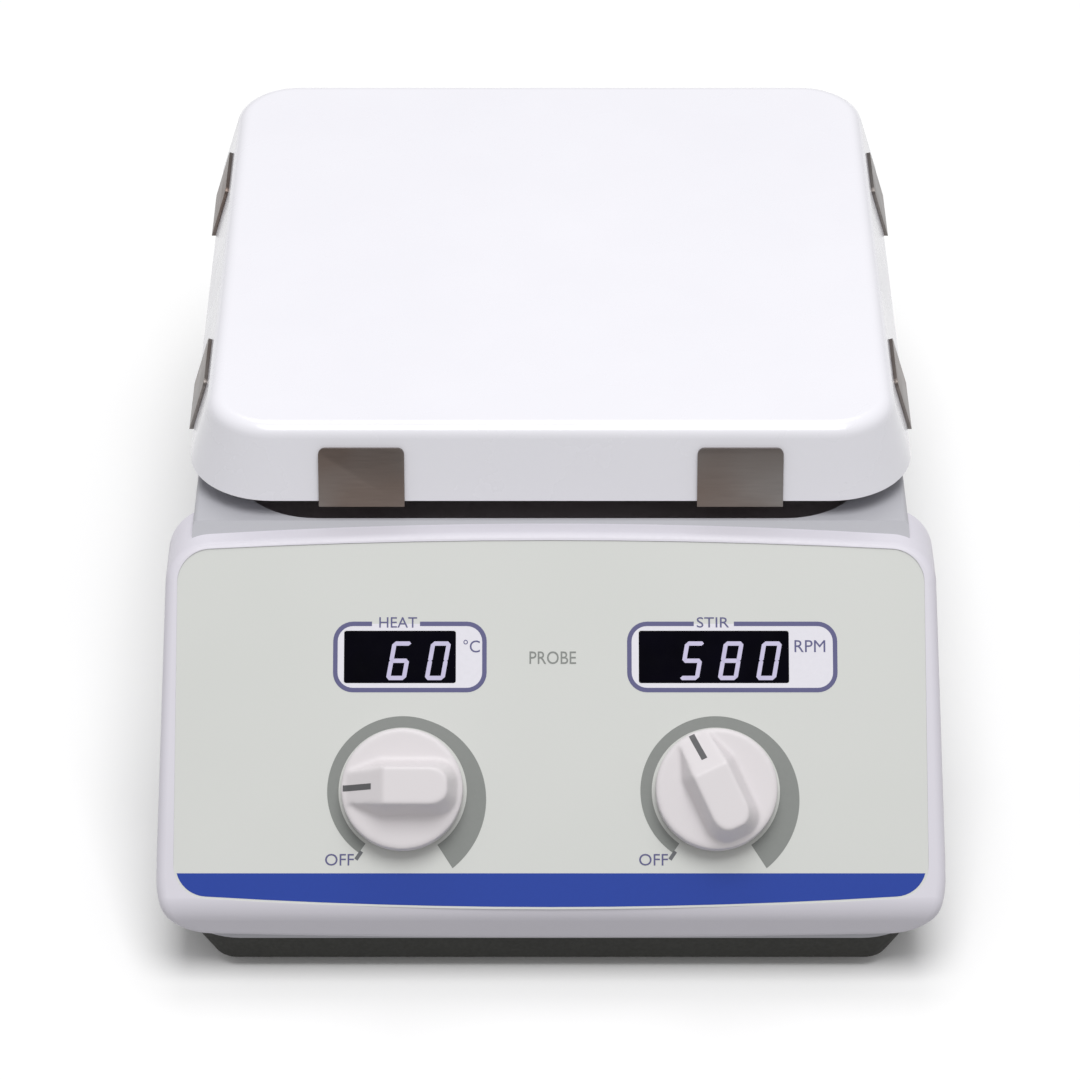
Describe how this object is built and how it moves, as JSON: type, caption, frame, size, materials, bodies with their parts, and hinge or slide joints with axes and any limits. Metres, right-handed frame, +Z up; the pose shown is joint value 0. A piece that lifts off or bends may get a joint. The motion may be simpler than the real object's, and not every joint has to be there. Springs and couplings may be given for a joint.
{
  "type": "stirring hotplate",
  "caption": "Bench magnetic stirrer with a heated square white ceramic top, sloped control panel with two displays and two knobs, and a support rod socket at the back.",
  "frame": {"origin": "on the bench, under the middle of the unit's outer box", "axes": "+Z up, the control panel faces -Y, +X is to the user's right"},
  "size_m": [0.2088, 0.3054, 0.121],
  "materials": {
    "white_ceramic": "fired white glaze",
    "dark_stainless": "dark heat-tinted, fine brushed",
    "steel": "plain zinc plated",
    "silver_grey_housing": "fine moulded texture",
    "light_grey_bezel": "satin moulded",
    "panel_label": "printed polyester film",
    "smoked_window": "clear smoked acrylic",
    "white_knob": "satin moulded",
    "pointer_line": "grey paint fill",
    "dark_base": "textured moulding",
    "black_plastic": "moulded",
    "circuit_board": "solder mask",
    "foot_rubber": "moulded",
    "aluminium": "mill finish",
    "insulation": "pressed fibre",
    "dark_liner": "pressed dark mica sheet",
    "mica": "pressed mica sheet",
    "copper": "enamelled winding",
    "magnet": "nickel plated",
    "brass": "plated",
    "fuse_glass": "clear"
  },
  "bodies": {
    "root": {"ceramic_top": "white_ceramic", "front_clips": "dark_stainless", "back_clips": "dark_stainless", "left_clips": "dark_stainless", "right_clips": "dark_stainless", "clip_screws": "steel", "heater_plate": "mica", "insulation_board": "insulation", "carrier_pan": "steel", "plate_standoffs": "steel", "standoff_screws": "steel", "deck_liner": "dark_liner", "temperature_sensor": "steel", "upper_housing": "silver_grey_housing", "front_bezel": "light_grey_bezel", "panel_overlay": "panel_label", "heat_window": "smoked_window", "stir_window": "smoked_window", "heat_digits": "black_plastic", "stir_digits": "black_plastic", "heat_potentiometer": "steel", "stir_potentiometer": "steel", "heat_pot_nut": "brass", "stir_pot_nut": "brass", "display_board": "circuit_board", "display_board_screws": "steel", "main_board": "circuit_board", "board_posts": "black_plastic", "heat_sink": "aluminium", "transformer": "copper", "motor_can": "steel", "motor_bracket": "aluminium", "motor_screws": "steel", "motor_stator": "copper", "lower_bearing": "steel", "upper_bearing": "steel", "base_pan": "dark_base", "rubber_feet": "foot_rubber", "base_screws": "steel", "rear_panel": "aluminium", "rear_panel_screws": "steel", "power_inlet": "black_plastic", "inlet_pins": "brass", "inlet_screws": "steel", "probe_socket": "black_plastic", "rod_socket": "steel", "rod_set_screw": "steel"},
    "heat_control": {"heat_knob": "white_knob", "heat_pointer": "pointer_line", "heat_pot_shaft": "brass"},
    "stir_control": {"stir_knob": "white_knob", "stir_pointer": "pointer_line", "stir_pot_shaft": "brass"},
    "stir_rotor": {"motor_shaft": "steel", "motor_rotor": "steel", "magnet_carrier": "aluminium", "drive_magnets": "magnet"},
    "fuse_carrier": {"fuse_drawer": "black_plastic", "fuses": "fuse_glass"}
  },
  "joints": [
    {"name": "heat_knob_turn", "type": "hinge", "parent": "root", "child": "heat_control", "pos_m": [-0.0393, -0.13037, 0.04663], "axis": [0, -0.7071, 0.7071], "range_deg": [-237, 55]},
    {"name": "stir_knob_turn", "type": "hinge", "parent": "root", "child": "stir_control", "pos_m": [0.0437, -0.13037, 0.04663], "axis": [0, -0.7071, 0.7071], "range_deg": [-172, 120]},
    {"name": "stir_rotor_spin", "type": "hinge", "parent": "root", "child": "stir_rotor", "pos_m": [0, 0.024, 0.092], "axis": [0, 0, 1], "continuous": true},
    {"name": "fuse_drawer_slide", "type": "slide", "parent": "root", "child": "fuse_carrier", "axis": [0, 1, 0], "range_m": [0, 0.02]}
  ]
}
